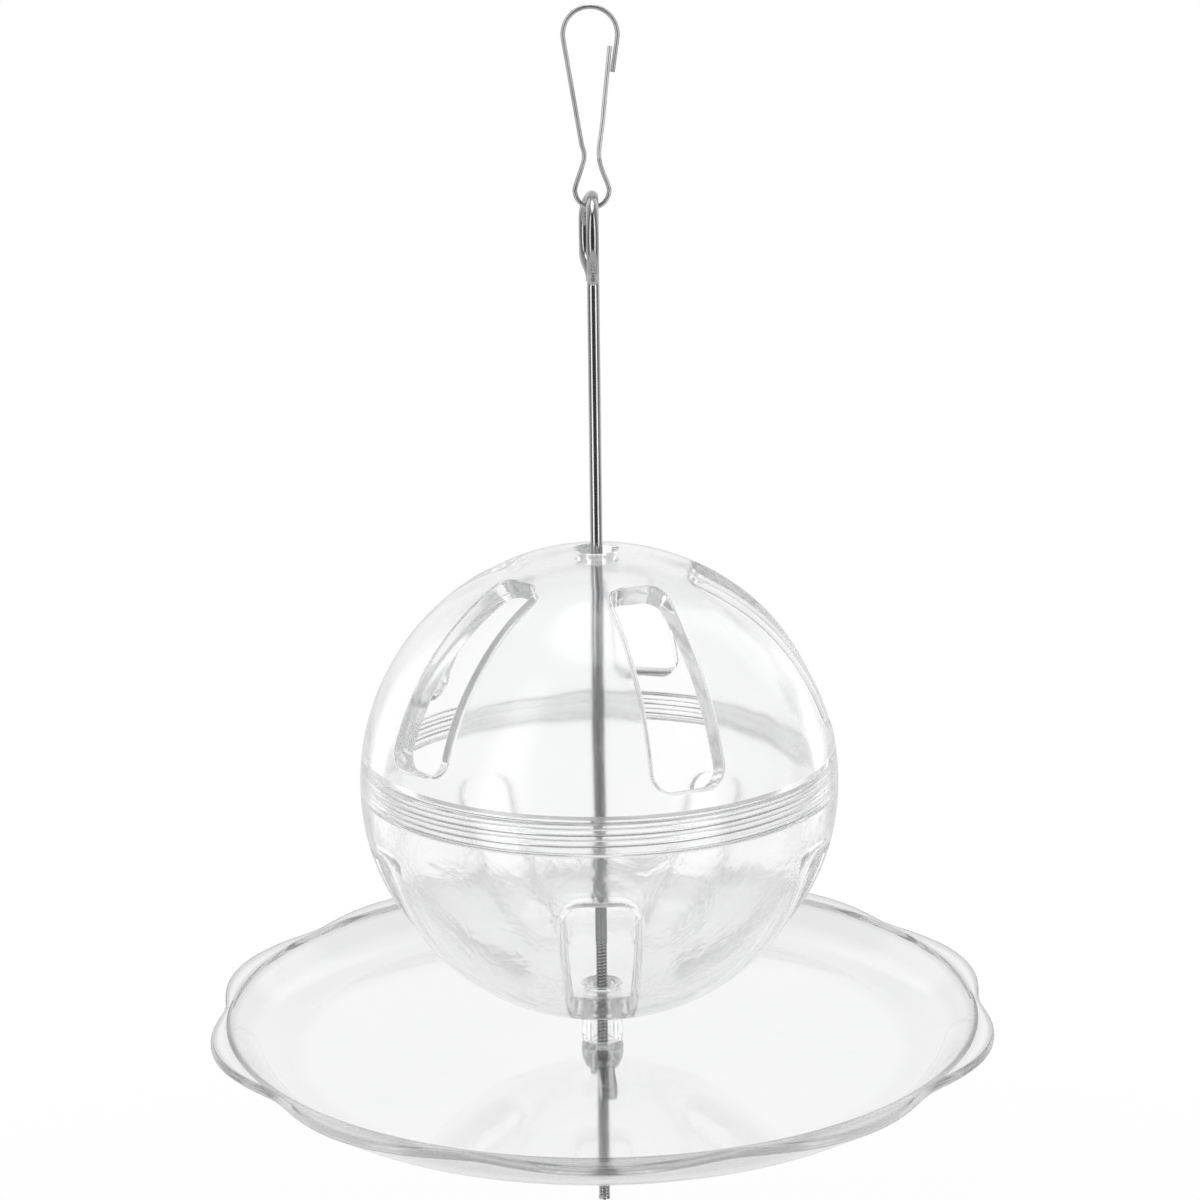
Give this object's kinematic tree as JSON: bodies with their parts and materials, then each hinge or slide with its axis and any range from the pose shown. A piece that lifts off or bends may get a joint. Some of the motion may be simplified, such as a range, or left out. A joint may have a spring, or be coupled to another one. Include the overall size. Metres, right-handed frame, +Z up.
{
  "type": "bird foraging toy",
  "caption": "Hanging clear slotted ball that unscrews at the middle for treats, on a steel rod with a spring clip, over a scalloped catch tray held by a wing nut.",
  "frame": {"origin": "the point inside the top bend of the clip that rests on what it hangs from", "axes": "+Z up along the rod, +X across the clip's flat, towards its gate, and -Y towards the camera of the picture"},
  "size_m": [0.1636, 0.168, 0.2549],
  "materials": {
    "spring_steel": "bright nickel-plated spring wire",
    "rod_steel": "drawn stainless wire",
    "clear_plastic": "clear, colourless, polished moulding"
  },
  "bodies": {
    "clip": {"clip_hook": "spring_steel"},
    "gate": {"clip_gate": "spring_steel"},
    "rod": {"hanging_rod": "rod_steel"},
    "bush": {"spacer_sleeve": "clear_plastic"},
    "ball_lower": {"ball_lower_half": "clear_plastic"},
    "ball_upper": {"ball_upper_half": "clear_plastic"},
    "catch_tray": {"tray": "clear_plastic"},
    "nut": {"wing_nut": "clear_plastic"}
  },
  "joints": [
    {"name": "gate_flex", "type": "hinge", "parent": "clip", "child": "gate", "pos_m": [0.0015, 0, -0.0292], "axis": [0, -1, 0], "range_deg": [0, 14], "stiffness_Nm_per_rad": 0.03},
    {"name": "rod_swing", "type": "hinge", "parent": "clip", "child": "rod", "pos_m": [0, 0, -0.039], "axis": [1, 0, 0], "range_deg": [-75, 75]},
    {"name": "ball_spin", "type": "hinge", "parent": "rod", "child": "bush", "pos_m": [0, 0, -0.2167], "axis": [0, 0, 1], "continuous": true},
    {"name": "ball_unscrew", "type": "hinge", "parent": "bush", "child": "ball_lower", "pos_m": [0, 0, -0.15889], "axis": [0, 0, -1], "range_deg": [0, 900]},
    {"name": "ball_lift", "type": "slide", "parent": "bush", "child": "ball_upper", "axis": [0, 0, 1], "range_m": [0, 0.0055]},
    {"name": "tray_spin", "type": "hinge", "parent": "rod", "child": "catch_tray", "pos_m": [0, 0, -0.217], "axis": [0, 0, 1], "continuous": true},
    {"name": "nut_turn", "type": "hinge", "parent": "rod", "child": "nut", "pos_m": [0, 0, -0.2193], "axis": [0, 0, 1], "continuous": true}
  ],
  "couplings": [
    {"joint": "ball_lift", "follows": "ball_unscrew", "m_per_rad": 0.00035014}
  ]
}
